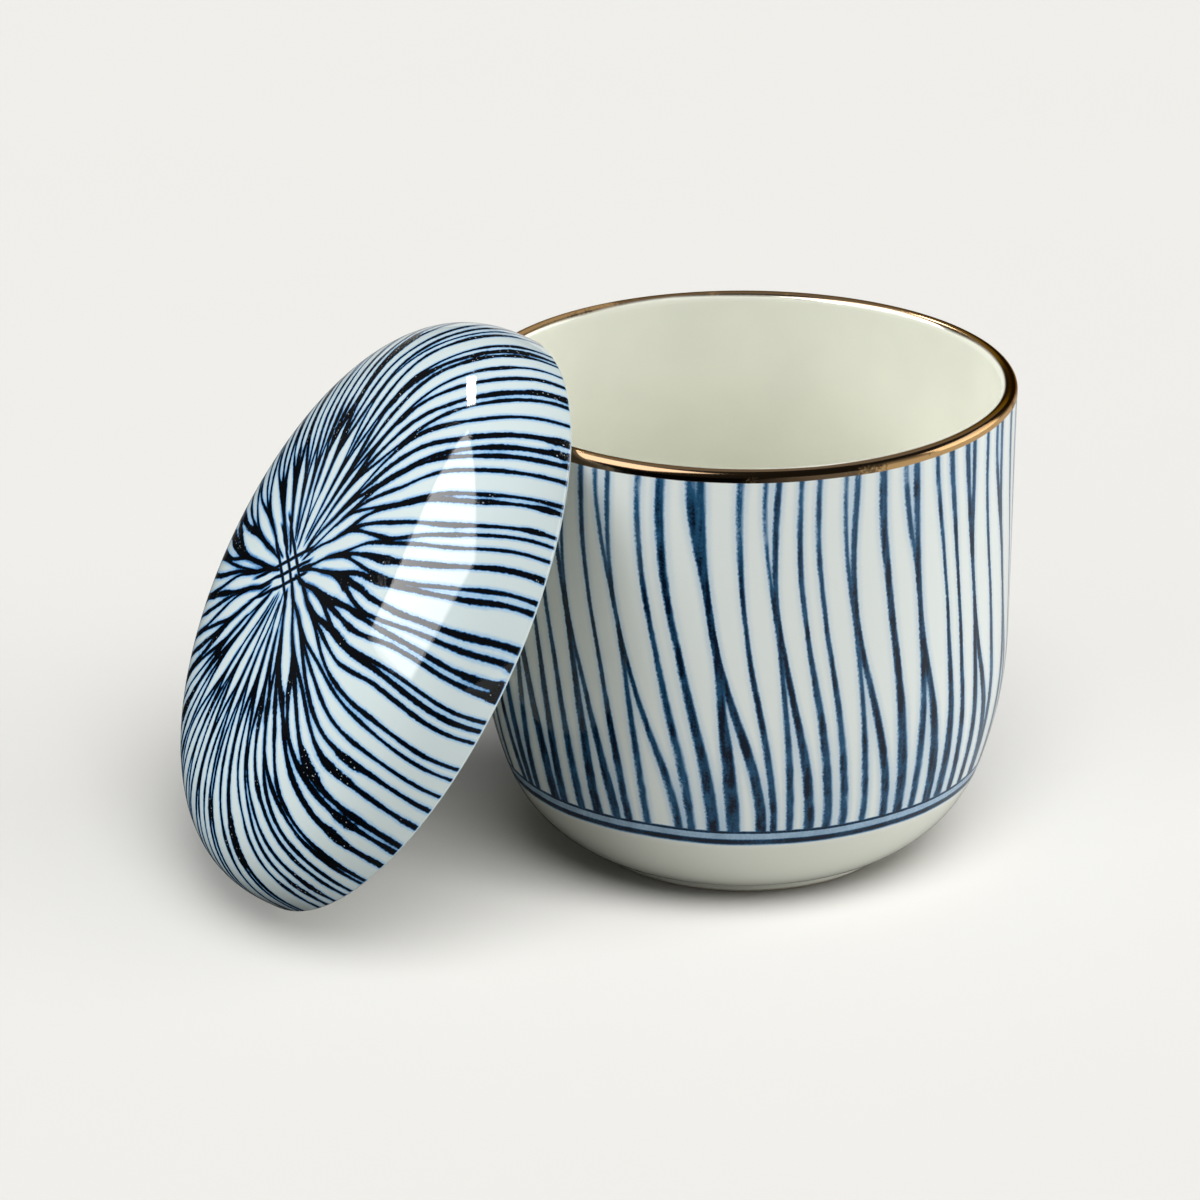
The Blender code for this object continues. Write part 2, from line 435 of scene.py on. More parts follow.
def cup_strokes(tree, size, spot, grain, mottle):
    """Strength of the cobalt that is brushed from lip to base, with its pale bleed."""
    x, y, z = lay(tree, "SeparateXYZ", (spot,))
    lip_edge, ring_edge = (size.height - size.band) / MM, size.upper_ring / MM

    # A stroke is set at three stations, lip, middle and base, blends between them, and leans
    pitch = 2 * math.pi * size.rim_radius / MM / size.strokes
    down = lay(tree, "MapRange", (z, lip_edge, ring_edge, 0.0, 1.0))[0]
    upper, lower, lean = (
        lay(tree, "MapRange", (down, *span), interpolation_type='SMOOTHSTEP')[0]
        for span in ((0.0, 0.42, 1.0, 0.0), (0.38, 1.0, 0.0, 1.0),
                     (0.03, 1.0, 0.0, size.drift / MM / pitch)))
    ends = lay(tree, "Math", (upper, lower), operation='ADD')[0]
    middle = lay(tree, "Math", (1.0, ends), operation='SUBTRACT')[0]
    stations = lay(tree, "CombineXYZ", (upper, middle, lower))[0]

    # The hand's slow sway along a stroke, 16 mm long, its tremble, 5 mm long, and frayed edges
    stretched = lay(tree, "VectorMath", (spot, (1.0, 1.0, 0.4)), operation='MULTIPLY')[0]
    sway, tremble = (
        lay(tree, "TexNoise", {"Vector": stretched, "Scale": 1 / run, "Detail": 0.0})[0]
        for run in (16, 5))
    turn = lay(tree, "Math", (y, x), operation='ARCTAN2')[0]
    place = lay(tree, "Math", (turn, size.strokes / (2 * math.pi), size.strokes / 2),
                operation='MULTIPLY_ADD')[0]
    place = lay(tree, "Math", (place, lean), operation='SUBTRACT')[0]
    for bend, share in ((sway, 1.3), (tremble, 0.12), (grain, 0.1)):
        place = lay(tree, "Math", (bend, share, place), operation='MULTIPLY_ADD')[0]

    # Strokes come in threes and fours: a pair meets a third of the way down and parts again,
    # and one of the pair runs on to its neighbour. Each row is a shift at each station.
    habits = ((0.15, 0.42, 0.05), (-0.30, -0.50, 0.60), (0.05, 0.0, 0.05),
              (0.10, 0.45, 0.20), (-0.25, -0.48, 0.45), (0.0, 0.05, -0.05), (0.05, 0.0, 0.05))
    jitter = (0.36, 0.20, 0.56)

    def stroke(index):
        kind = lay(tree, "Math", (index, len(habits)), operation='FLOORED_MODULO')[0]
        kind = lay(tree, "Math", (kind, 1 / len(habits), 0.5 / len(habits)),
                   operation='MULTIPLY_ADD')[0]
        habit = set_stops(lay(tree, "ValToRGB", (kind,)), [
            (row / len(habits), (*(shift / 2 + 0.5 for shift in shifts), 1.0))
            for row, shifts in enumerate(habits)], 'CONSTANT')[0]
        habit = lay(tree, "VectorMath", (
            habit, (2.0, 2.0, 2.0), tuple(-1.0 - part / 2 for part in jitter)),
            operation='MULTIPLY_ADD')[0]
        chance, load = (lay(tree, "TexWhiteNoise", {"Vector": (seed, 0.0, 0.0), "W": index},
                            noise_dimensions='4D') for seed in (3.0, 7.0))
        shifts = lay(tree, "VectorMath", (chance["Color"], jitter, habit),
                     operation='MULTIPLY_ADD')[0]
        widths = lay(tree, "VectorMath", (
            load["Color"], (-0.14, -0.12, -0.3), (-0.44, -0.31, -0.66)),
            operation='MULTIPLY_ADD')[0]
        shift, width = (lay(tree, "VectorMath", (each, stations),
                            operation='DOT_PRODUCT')["Value"] for each in (shifts, widths))
        heavy = lay(tree, "MapRange", (load["Value"], 0.0, 1.0, 0.85, 1.15))[0]
        width = lay(tree, "Math", (width, heavy), operation='MULTIPLY')[0]
        strength = lay(tree, "MapRange", (load["Value"], 0.0, 0.7, 0.8, 1.0))[0]
        return shift, width, strength

    # How soft a stroke's edge is, how much ink the brush leaves and how much of it bleeds
    soft, lifted, pooled = (
        lay(tree, "VectorMath", (stations, shares), operation='DOT_PRODUCT')["Value"]
        for shares in ((0.8, 0.55, 1.0), (0.78, 1.0, 0.9), (0.13, 0.08, 0.16)))
    ink, wash = brushwork(tree, place, size.strokes, pitch, soft, stroke, reach=3, bleed=1.3)

    # Bristles leave streaks along a stroke, 0.8 mm apart and ten times as long
    bristles = lay(tree, "VectorMath", (spot, (1.0, 1.0, 0.1)), operation='MULTIPLY')[0]
    streak = lay(tree, "TexNoise", {"Vector": bristles, "Scale": 1 / 0.8, "Detail": 1.0})[0]
    streak = lay(tree, "MapRange", (streak, 0.3, 0.7, 0.78, 1.12))[0]
    for share in (lifted, mottle, streak):
        ink = lay(tree, "Math", (ink, share), operation='MULTIPLY')[0]
    wash = lay(tree, "Math", (wash, pooled), operation='MULTIPLY')[0]
    wash = lay(tree, "Math", (wash, 0.42), operation='MINIMUM')[0]
    return lay(tree, "Math", (ink, wash), operation='MAXIMUM')[0]


def painted_rings(tree, size, painted, level, mottle):
    """Adds the two rings below the strokes, and a wash between the rings."""
    upper, lower = size.upper_ring / MM, size.lower_ring / MM
    for height, half_width, strength, soft in (
            (upper, 0.24, 0.95, 0.3), (lower, 0.5, 0.95, 0.5),
            ((upper + lower) / 2, 0.9, 0.34, 0.8)):
        off = lay(tree, "Math", (level, height), operation='SUBTRACT')[0]
        off = lay(tree, "Math", (off,), operation='ABSOLUTE')[0]
        ring = lay(tree, "MapRange", (off, half_width + soft / 2, half_width - soft / 2,
                                      0.0, strength))[0]
        ring = lay(tree, "Math", (ring, mottle), operation='MULTIPLY')[0]
        painted = lay(tree, "Math", (painted, ring), operation='MAXIMUM')[0]
    return painted


def lip_lustre(tree, size, spot, grain, wave):
    """Where the lip is lustred, and where the lustre is worn to sandy gold."""
    x, y, z = lay(tree, "SeparateXYZ", (spot,))
    lip_edge, rim = (size.height - size.band) / MM, size.rim_radius / MM

    # It has hand-drawn edges, and ends near the crest of the lip
    brush = lay(tree, "Math", (wave, 0.8, z), operation='MULTIPLY_ADD')[0]
    metal = lay(tree, "MapRange", (brush, lip_edge + 0.35, lip_edge + 0.47, 0.0, 1.0))[0]
    crest = (size.rim_radius - size.lip / 2) / MM
    reach = lay(tree, "VectorMath", (spot, (1.0, 1.0, 0.0)), operation='MULTIPLY')[0]
    reach = lay(tree, "VectorMath", (reach,), operation='LENGTH')["Value"]
    beside = lay(tree, "Math", (x,), operation='ABSOLUTE')[0]
    for way, share in ((wave, 0.5), (y, 0.5 / rim), (beside, 0.5 / rim)):
        reach = lay(tree, "Math", (way, share, reach), operation='MULTIPLY_ADD')[0]
    brim = lay(tree, "MapRange", (reach, crest - 0.18, crest + 0.12, 0.0, 1.0))[0]
    metal = lay(tree, "Math", (metal, brim), operation='MULTIPLY')[0]

    # It is worn in patches of 5 mm on the two sides that are held: well worn on the lower half
    # of one side, and a little all over the other
    hold = math.radians(-50)
    toward = lay(tree, "VectorMath", (spot, (math.cos(hold), math.sin(hold), 0.0)),
                 operation='DOT_PRODUCT')["Value"]
    held = lay(tree, "Math", (toward,), operation='ABSOLUTE')[0]
    held = lay(tree, "MapRange", (held, 0.78 * rim, 0.97 * rim, 0.0, 1.0))[0]
    worn = lay(tree, "TexNoise", {"Vector": spot, "Scale": 1 / 5, "Detail": 4.0,
                                  "Roughness": 0.7})[0]
    for cause, share in ((held, 0.42), (grain, 0.4)):
        worn = lay(tree, "Math", (cause, share, worn), operation='MULTIPLY_ADD')[0]
    worn = lay(tree, "MapRange", (worn, 0.8, 1.0, 0.0, 1.0))[0]
    low = lay(tree, "MapRange", (z, lip_edge + 1.25, lip_edge + 0.75, 0.0, 1.0))[0]
    slight = lay(tree, "MapRange", (toward, 0.0, -0.5 * rim, 0.0, 0.55))[0]
    low = lay(tree, "Math", (low, slight), operation='MAXIMUM')[0]
    return metal, lay(tree, "Math", (worn, low), operation='MULTIPLY')[0]


def cup_porcelain(size):
    """Glazed porcelain brushed with cobalt under the glaze, and a lustred lip.

    The eye sees a cool glassy white, strokes that run from ink to thin blue where the brush
    was lifted, a pale bleed round them, and a dark metallic line on the lip, worn to gold.
    """
    material, tree = new_material("brushed_cup_porcelain")
    spot = own_millimetres(tree, ((bowl_low.x + bowl_high.x) / 2, 0.0, 0.0), 0.0)
    z = lay(tree, "SeparateXYZ", (spot,))[2]
    lip_edge, ring_edge = (size.height - size.band) / MM, size.upper_ring / MM

    # Grain of the cobalt, its uneven load, 3 mm, and the slow wave of a drawn edge, 18 mm
    grain, patch, wave = (
        lay(tree, "TexNoise", {"Vector": spot, "Scale": 1 / width, "Detail": detail})[0]
        for width, detail in ((GRAIN_LENGTH, 2.0), (3, 1.0), (18, 1.0)))
    mottle = lay(tree, "Math", (grain, patch), operation='ADD')[0]
    mottle = lay(tree, "MapRange", (mottle, 0.7, 1.3, 0.84, 1.14))[0]

    # The strokes end at the upper ring and under the lustre
    painted = cup_strokes(tree, size, spot, grain, mottle)
    level = lay(tree, "Math", (wave, -0.6, z), operation='MULTIPLY_ADD')[0]
    level = lay(tree, "Math", (level, 0.3), operation='ADD')[0]
    above = lay(tree, "MapRange", (level, ring_edge - 0.1, ring_edge + 0.1, 0.0, 1.0))[0]
    inner = lay(tree, "MapRange", (z, lip_edge + 0.3, lip_edge + 0.5, 0.0, 1.0))[0]
    outer = lay(tree, "Math", (1.0, inner), operation='SUBTRACT')[0]
    for share in (above, outer):
        painted = lay(tree, "Math", (painted, share), operation='MULTIPLY')[0]
    painted = painted_rings(tree, size, painted, level, mottle)

    base_edge = size.lower_ring / MM
    side = lay(tree, "MapRange", (z, base_edge - 1.5, base_edge, 0.0, 1.0))[0]
    shades = set_stops(lay(tree, "ValToRGB", (painted,)), [
        (0.0, size.wash), (0.28, size.wash), (0.6, size.cobalt), (0.95, size.ink)])[0]
    cover = lay(tree, "MapRange", (painted, 0.0, 0.3, 0.0, 1.0))[0]

    # Worn lustre is less metallic, and lustre seen aslant turns gold instead of white
    metal, worn = lip_lustre(tree, size, spot, grain, wave)
    lustre, aslant = (lay(tree, "Mix", {0: share, 6: shade, 7: size.gold}, data_type='RGBA')[2]
                      for share, shade in ((worn, size.lustre), (metal, WHITE)))
    shine = lay(tree, "Math", (worn, -0.6, 1.0), operation='MULTIPLY_ADD')[0]
    shine = lay(tree, "Math", (metal, shine), operation='MULTIPLY')[0]
    gloss = lay(tree, "MapRange", (metal, 0.0, 1.0, 0.07, 0.14))[0]

    # Each coat lies over the one before it
    body = size.base_glaze
    for share, shade in ((side, size.glaze), (inner, size.inner_glaze), (cover, shades),
                         (metal, lustre)):
        body = lay(tree, "Mix", {0: share, 6: body, 7: shade}, data_type='RGBA')[2]
    lay(tree, "OutputMaterial", lay(tree, "BsdfPrincipled", {
        "Base Color": body, "Metallic": shine, "Roughness": gloss, "IOR": GLAZE_IOR,
        "Normal": glaze_skin(tree, spot), "Specular Tint": aslant}))
    return material


def ink_pools(tree, sheet, walk):
    """Where a loaded brush runs strokes together, in patches that are long towards the rim."""
    outward = lay(tree, "VectorMath", (sheet,), operation='NORMALIZE')[0]
    outward = lay(tree, "VectorMath", {0: outward, "Scale": 20.0}, operation='SCALE')[0]
    travel = lay(tree, "Math", (walk, 0.35), operation='MULTIPLY')[0]
    travel = lay(tree, "CombineXYZ", (0.0, 0.0, travel))[0]
    polar = lay(tree, "VectorMath", (outward, travel), operation='ADD')[0]
    pool = lay(tree, "TexNoise", {"Vector": polar, "Scale": 1 / 3.5, "Detail": 0.0})[0]
    pool = lay(tree, "MapRange", (pool, 0.57, 0.72, 0.0, 1.0),
               interpolation_type='SMOOTHSTEP')[0]
    rimward = lay(tree, "MapRange", (walk, 18.0, 26.0, 0.0, 1.0))[0]
    return lay(tree, "Math", (pool, rimward), operation='MULTIPLY')[0]


def lid_strokes(tree, size, spot, sheet, spread, walk, pool):
    """Ink and wash of the strokes that are brushed from the rim up to the crown."""
    count = size.bundles * size.bundle_size
    half = (size.bundle_size - 1) / 2
    across, along, _ = lay(tree, "SeparateXYZ", (sheet,))
    sway, waver, press, fray = (
        lay(tree, "TexNoise", {"Vector": spot, "Scale": 1 / width, "Detail": detail})[0]
        for width, detail in ((26, 0.0), (12, 0.0), (6, 1.0), (0.6, 2.0)))
    turn = lay(tree, "Math", (along, across), operation='ARCTAN2')[0]
    place = lay(tree, "Math", (turn, count / (2 * math.pi), count / 2),
                operation='MULTIPLY_ADD')[0]
    steady = lay(tree, "MapRange", (spread, 6.0, 30.0, 0.6, 2.6))[0]
    for bend, share in ((sway, steady), (waver, 0.4)):
        place = lay(tree, "Math", (bend, share, place), operation='MULTIPLY_ADD')[0]
    pitch = lay(tree, "Math", (spread, 2 * math.pi / count), operation='MULTIPLY')[0]

    fade, closing, shoulder = (
        lay(tree, "MapRange", (way, start, end, 0.0, 1.0), interpolation_type='SMOOTHSTEP')[0]
        for way, start, end in ((spread, 31.0, 17.0), (spread, 13.0, 6.5), (walk, 30.0, 44.0)))

    # The brush presses unevenly every 6 mm and less near the crown, its bristles fray the
    # strokes every 0.6 mm, and pooled ink swells them
    press = lay(tree, "MapRange", (press, 0.3, 0.7, 0.75, 1.25))[0]
    fine = lay(tree, "MapRange", (spread, 9.0, 22.0, 0.72, 1.0))[0]
    fray = lay(tree, "MapRange", (fray, 0.3, 0.7, 0.86, 1.14))[0]
    flood = lay(tree, "Math", (pool, 0.6, 1.0), operation='MULTIPLY_ADD')[0]
    for share in (fine, fray, flood):
        press = lay(tree, "Math", (press, share), operation='MULTIPLY')[0]

    def group(index, lead, seed):
        """Random values shared by the strokes of a bundle, which starts lead strokes early."""
        number = lay(tree, "Math", (index, lead), operation='ADD')[0]
        number = lay(tree, "Math", (number, size.bundle_size), operation='DIVIDE')[0]
        number = lay(tree, "Math", (number,), operation='FLOOR')[0]
        chance = lay(tree, "TexWhiteNoise", {"Vector": (seed, 0.0, 0.0), "W": number},
                     noise_dimensions='4D')
        return number, chance["Value"], lay(tree, "SeparateXYZ", (chance["Color"],))

    def stroke(index):
        chance = lay(tree, "TexWhiteNoise", {"Vector": (5.0, 0.0, 0.0), "W": index},
                     noise_dimensions='4D')
        one, two, three = lay(tree, "SeparateXYZ", (chance["Color"],))
        bundle, knot, (veer, lean, _) = group(index, 0.0, 9.0)
        _, meet, (late, _, _) = group(index, 1.0, 11.0)
        knot, veer, meet, lean, stop, load = (
            lay(tree, "MapRange", (luck, 0.0, 1.0, least, most))[0] for luck, least, most in (
                (knot, 9.0, 16.0), (veer, -0.6, 0.6), (meet, -0.2, -0.62), (lean, 0.2, 1.5),
                (two, 2.5, 5.5), (chance["Value"], -0.32, -0.55)))
        home = lay(tree, "Math", (index, size.bundle_size), operation='FLOORED_MODULO')[0]
        home = lay(tree, "Math", (half, home), operation='SUBTRACT')[0]

        # The strokes of a bundle run straight to a knot 9 to 16 mm from the crown, and cross
        gathered = lay(tree, "Math", (knot, spread), operation='DIVIDE')[0]
        gathered = lay(tree, "Math", (gathered, fade), operation='MULTIPLY')[0]

        # Past the knot a bundle opens until it meets its neighbours and closes the white petals
        onset = lay(tree, "Math", (late, 5.0, spread), operation='MULTIPLY_ADD')[0]
        swell, ebb = (lay(tree, "MapRange", (onset, *span), interpolation_type='SMOOTHSTEP')[0]
                      for span in ((19.0, 27.0, 0.0, 1.0), (29.0, 46.0, 0.0, 0.85)))
        swell = lay(tree, "Math", (swell, ebb), operation='SUBTRACT')[0]
        gathered = lay(tree, "Math", (meet, swell, gathered), operation='MULTIPLY_ADD')[0]

        # Inside 13 mm the bundles lean together in pairs, which closes the petals there too
        side = lay(tree, "Math", (bundle, 2.0), operation='FLOORED_MODULO')[0]
        side = lay(tree, "Math", (side, -2.0, 1.0), operation='MULTIPLY_ADD')[0]
        lean = lay(tree, "Math", (lean, side), operation='MULTIPLY')[0]

        # On the shoulder the middle strokes drift to one side, so that some threes nearly touch
        aside = lay(tree, "Math", (home,), operation='ABSOLUTE')[0]
        drift = lay(tree, "MapRange", (aside, 0.0, 1.0, 1.2, 0.5))[0]
        stray = lay(tree, "Math", (three, 0.5), operation='SUBTRACT')[0]
        stray = lay(tree, "Math", (stray, drift), operation='MULTIPLY')[0]
        shift = 0.0
        for move, share in ((veer, fade), (home, gathered), (lean, closing), (stray, shoulder)):
            shift = lay(tree, "Math", (move, share, shift), operation='MULTIPLY_ADD')[0]

        # The middle stroke of a bundle runs on to 2.5 to 5.5 mm, the others stop past the knot
        short = lay(tree, "Math", (one, -4.0, knot), operation='MULTIPLY_ADD')[0]
        beside = lay(tree, "Math", (aside, 0.5), operation='GREATER_THAN')[0]
        stop = lay(tree, "Mix", {0: beside, 2: stop, 3: short})[0]
        start = lay(tree, "Math", (spread, stop), operation='SUBTRACT')[0]
        width = lay(tree, "MapRange", (start, 0.0, 2.0, 0.7, 1.0))[0]
        for share in (load, press):
            width = lay(tree, "Math", (width, share), operation='MULTIPLY')[0]
        strength = lay(tree, "MapRange", (start, -0.5, 0.5, 0.0, 0.98))[0]
        return shift, width, strength

    return brushwork(tree, place, count, pitch, 0.4, stroke, reach=size.bundle_size + 1,
                     bleed=0.7)


def crown_lattice(tree, spot, sheet, ink):
    """Adds three lines each way that cross at the crown."""
    tremble = lay(tree, "TexNoise", {"Vector": spot, "Scale": 1 / 5, "Detail": 1.0})[0]
    for heading, near_end, far_end in ((math.radians(-53), -13.0, 8.0),
                                       (math.radians(74), -7.0, 13.0)):
        aim = (math.cos(heading), math.sin(heading), 0.0)
        run = lay(tree, "VectorMath", (sheet, aim), operation='DOT_PRODUCT')["Value"]
        gap = lay(tree, "VectorMath", (sheet, (-aim[1], aim[0], 0.0)),
                  operation='DOT_PRODUCT')["Value"]
        gap = lay(tree, "Math", (tremble, 1.0, gap), operation='MULTIPLY_ADD')[0]
        gap = lay(tree, "Math", (gap, 0.5), operation='SUBTRACT')[0]
        nearest = lay(tree, "Math", (gap, 1 / LATTICE_GAP), operation='MULTIPLY')[0]
        nearest = lay(tree, "Math", (nearest,), operation='ROUND')[0]
        nearest = lay(tree, "Clamp", (nearest, -1.0, 1.0))[0]
        gap = lay(tree, "Math", (nearest, -LATTICE_GAP, gap), operation='MULTIPLY_ADD')[0]
        gap = lay(tree, "Math", (gap,), operation='ABSOLUTE')[0]
        line = lay(tree, "MapRange", (gap, 0.5, 0.22, 0.0, 0.97))[0]
        head = lay(tree, "MapRange", (run, near_end, near_end + 2.0, 0.0, 1.0))[0]
        tail = lay(tree, "MapRange", (run, far_end, far_end - 2.0, 0.0, 1.0))[0]
        for share in (head, tail):
            line = lay(tree, "Math", (line, share), operation='MULTIPLY')[0]
        ink = lay(tree, "Math", (ink, line), operation='MAXIMUM')[0]
    return ink


def painted_ink_sparkle(tree, spot, ink, pool):
    """Painted highlights in deep pooled ink: pale specks on a few of its grains, 0.45 mm apart,
    that stand in for grains catching the light.
    """
    apart, tone, _ = lay(tree, "TexVoronoi", {"Vector": spot, "Scale": 1 / 0.45})[:3]
    grit = lay(tree, "MapRange", (apart, 0.3, 0.17, 0.0, 1.0))[0]
    rare = lay(tree, "SeparateXYZ", (tone,))[0]
    rare = lay(tree, "MapRange", (rare, 0.7, 0.8, 0.0, 1.0))[0]
    thick = lay(tree, "MapRange", (pool, 0.1, 0.6, 0.0, 1.0))[0]
    deep = lay(tree, "MapRange", (ink, 0.7, 0.95, 0.0, 0.8))[0]
    for share in (rare, thick, deep):
        grit = lay(tree, "Math", (grit, share), operation='MULTIPLY')[0]
    return grit


def lid_porcelain(size, centre):
    """Glazed porcelain brushed from rim to crown, where the strokes run together in bundles.

    The eye sees crisp black strokes with a blue fringe, sandy pools where they run together,
    white petals between the bundles and a small lattice of crossing lines at the crown.
    """
    material, tree = new_material("brushed_lid_porcelain")
    spot = own_millimetres(tree, centre, size.lean)
    x, y, z = lay(tree, "SeparateXYZ", (spot,))
    flat = lay(tree, "CombineXYZ", (x, y, 0.0))[0]

    # The painter's centre is a little off the true crown
    spread = lay(tree, "VectorMath", (flat,), operation='LENGTH')["Value"]
    pull = lay(tree, "MapRange", (spread, 0.0, 0.8 * size.radius / MM, 1.0, 0.0),
               interpolation_type='SMOOTHSTEP')[0]
    offset = lay(tree, "VectorMath", {0: (-0.7, 2.3, 0.0), "Scale": pull},
                 operation='SCALE')[0]
    sheet = lay(tree, "VectorMath", (flat, offset), operation='ADD')[0]
    spread = lay(tree, "VectorMath", (sheet,), operation='LENGTH')["Value"]
    fall = lay(tree, "Math", (size.rise / MM, z), operation='SUBTRACT')[0]
    walk = lay(tree, "Math", (spread, fall), operation='ADD')[0]

    pool = ink_pools(tree, sheet, walk)
    ink, wash = lid_strokes(tree, size, spot, sheet, spread, walk, pool)
    ink = crown_lattice(tree, spot, sheet, ink)
    grain = lay(tree, "TexNoise", {"Vector": spot, "Scale": 1 / GRAIN_LENGTH, "Detail": 2.0})[0]
    mottle = lay(tree, "MapRange", (grain, 0.3, 0.7, 0.85, 1.1))[0]
    ink = lay(tree, "Math", (ink, mottle), operation='MULTIPLY')[0]
    wash = lay(tree, "Math", (wash, 0.2), operation='MULTIPLY')[0]
    wash = lay(tree, "Math", (wash, 0.5), operation='MINIMUM')[0]
    painted = lay(tree, "Math", (ink, wash), operation='MAXIMUM')[0]
    tip = lay(tree, "MapRange", (z, -0.45, -0.15, 0.0, 1.0))[0]
    painted = lay(tree, "Math", (painted, tip), operation='MULTIPLY')[0]
    shades = set_stops(lay(tree, "ValToRGB", (painted,)), [
        (0.0, size.glaze), (0.25, size.wash), (0.55, size.cobalt), (0.85, size.ink)])[0]

    # Ink is sandy where it pools, with grains of 0.3 mm
    sand = lay(tree, "TexNoise", {"Vector": spot, "Scale": 1 / 0.3, "Detail": 1.0})[0]
    sandy = lay(tree, "Math", (pool, 0.9, 0.08), operation='MULTIPLY_ADD')[0]
    sandy = lay(tree, "Math", (ink, sandy), operation='MULTIPLY')[0]
    skin = lay(tree, "Bump", {"Strength": sandy, "Distance": 0.05 * MM, "Height": sand,
                              "Normal": glaze_skin(tree, spot)})[0]
    # Painted highlights: pale specks are mixed into the colour of pooled ink
    grit = painted_ink_sparkle(tree, spot, ink, pool)
    shades = lay(tree, "Mix", {0: grit, 6: shades, 7: size.painted_glint}, data_type='RGBA')[2]
    lay(tree, "OutputMaterial", lay(tree, "BsdfPrincipled", {
        "Base Color": shades, "Roughness": 0.04, "IOR": GLAZE_IOR, "Normal": skin}))
    return material


def plain_glaze(name, shade):
    """Clear glaze on white clay: a glassy, faintly uneven surface with pools of deeper tint."""
    material, tree = new_material(name)
    body, pool = patchy(tree, shade, 12 * MM, 2.0, 0.95)
    skin = lay(tree, "Bump", {"Strength": 0.15, "Distance": 0.2 * MM, "Height": pool})[0]
    lay(tree, "OutputMaterial", lay(tree, "BsdfPrincipled", {
        "Base Color": body, "Roughness": 0.08, "IOR": GLAZE_IOR, "Normal": skin}))
    return material


def bare_clay(shade):
    """Unglazed porcelain: dry, fine-grained and matt."""
    material, tree = new_material("bare_porcelain")
    body, grit = patchy(tree, shade, 0.5 * MM, 3.0, 0.85)
    skin = lay(tree, "Bump", {"Strength": 0.3, "Distance": 0.05 * MM, "Height": grit})[0]
    lay(tree, "OutputMaterial", lay(tree, "BsdfPrincipled", {
        "Base Color": body, "Roughness": 0.75, "IOR": GLAZE_IOR, "Normal": skin}))
    return material


def painted_dark_card(name, dark, pale, centre, near, far):
    """Matt card that goes from dark round a centre to pale far from it, its dark painted in as
    shade or as a dark reflection.
    """
    material, tree = new_material(name)
    where = lay(tree, "TexCoord")["Object"]
    away = lay(tree, "VectorMath", (where, centre), operation='DISTANCE')["Value"]
    share = lay(tree, "MapRange", (away, near, far, 0.0, 1.0))[0]
    body = lay(tree, "Mix", {0: share, 6: dark, 7: pale}, data_type='RGBA')[2]
    lay(tree, "OutputMaterial", lay(tree, "BsdfPrincipled", {"Base Color": body, **MATT}))
    return material


def studio_paper(shade):
    """Matt seamless paper: an even ground with the least shift in tone."""
    material, tree = new_material("studio_paper")
    body, _ = patchy(tree, shade, 60 * MM, 1.0, 0.995)
    lay(tree, "OutputMaterial", lay(tree, "BsdfPrincipled", {"Base Color": body, **MATT}))
    return material


# Studio

def spread_sheet(name, depth, material, seen_by):
    """A wide flat sheet under the pieces, which only one kind of ray sees."""
    bpy.ops.object.select_all(action='DESELECT')
    bpy.ops.mesh.primitive_plane_add(size=SHEET_SIDE, location=(0.0, 0.0, -depth))
    sheet = bpy.context.object
    sheet.name = sheet.data.name = name
    bpy.ops.object.transform_apply(location=True, rotation=True, scale=True)
    sheet.data.materials.append(material)
    for ray in ("camera", "diffuse", "glossy", "shadow"):
        setattr(sheet, "visible_" + ray, ray == seen_by)
    sheet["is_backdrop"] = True
    return sheet


def gather(name, objects):
    """A collection of objects that lamps light or that block lamps."""
    collection = bpy.data.collections.new(name)
    for each in objects:
        collection.objects.link(each)
    return collection


def direction(turn, height):
    """Unit vector at a turn about Z and a height angle, in radians."""
    return Vector((math.cos(turn) * math.cos(height), math.sin(turn) * math.cos(height),
                   math.sin(height)))


def facing(back, roll):
    """Rotation of a lamp or camera that has its back to a direction, turned by a roll."""
    upright = back.to_track_quat('Z', 'Y').to_matrix()
    return (upright @ Matrix.Rotation(roll, 3, 'Z')).to_euler()


# Operators

class OBJECT_OT_turn_bowl(bpy.types.Operator):
    """Turns the cup in the place of its CAD node and glazes it"""
    bl_idname = "object.turn_bowl"
    bl_label = "Turn Bowl"

    def execute(self, context):
        size = context.scene.porcelain_bowl
        centre = Vector(((bowl_low.x + bowl_high.x) / 2, (bowl_low.y + bowl_high.y) / 2, 0.0))
        piece = turn_on_wheel("cup", bowl_section(size), centre,
                              Vector((0.0, 0.0, 1.0)), Vector((1.0, 0.0, 0.0)))
        floor_under = size.foot_recess * (1 + HAIR)
        lip_level = size.height - size.lip / 2

        def inside(middle, normal):
            spoke = middle - centre - Vector((0.0, 0.0, middle.z))
            return (floor_under < middle.z < lip_level
                    and (normal.dot(spoke) < 0 or normal.z > FACES_UP))

        coat(piece, cup_porcelain(size), lambda middle, normal: True)
        coat(piece, plain_glaze("pale_inner_glaze", size.inner_glaze[:]), inside)
        coat(piece, bare_clay(size.biscuit[:]),
             lambda middle, normal: middle.z < size.foot_chamfer * (1 - HAIR))
        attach(piece, "bowl")
        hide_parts("bowl")
        return {'FINISHED'}


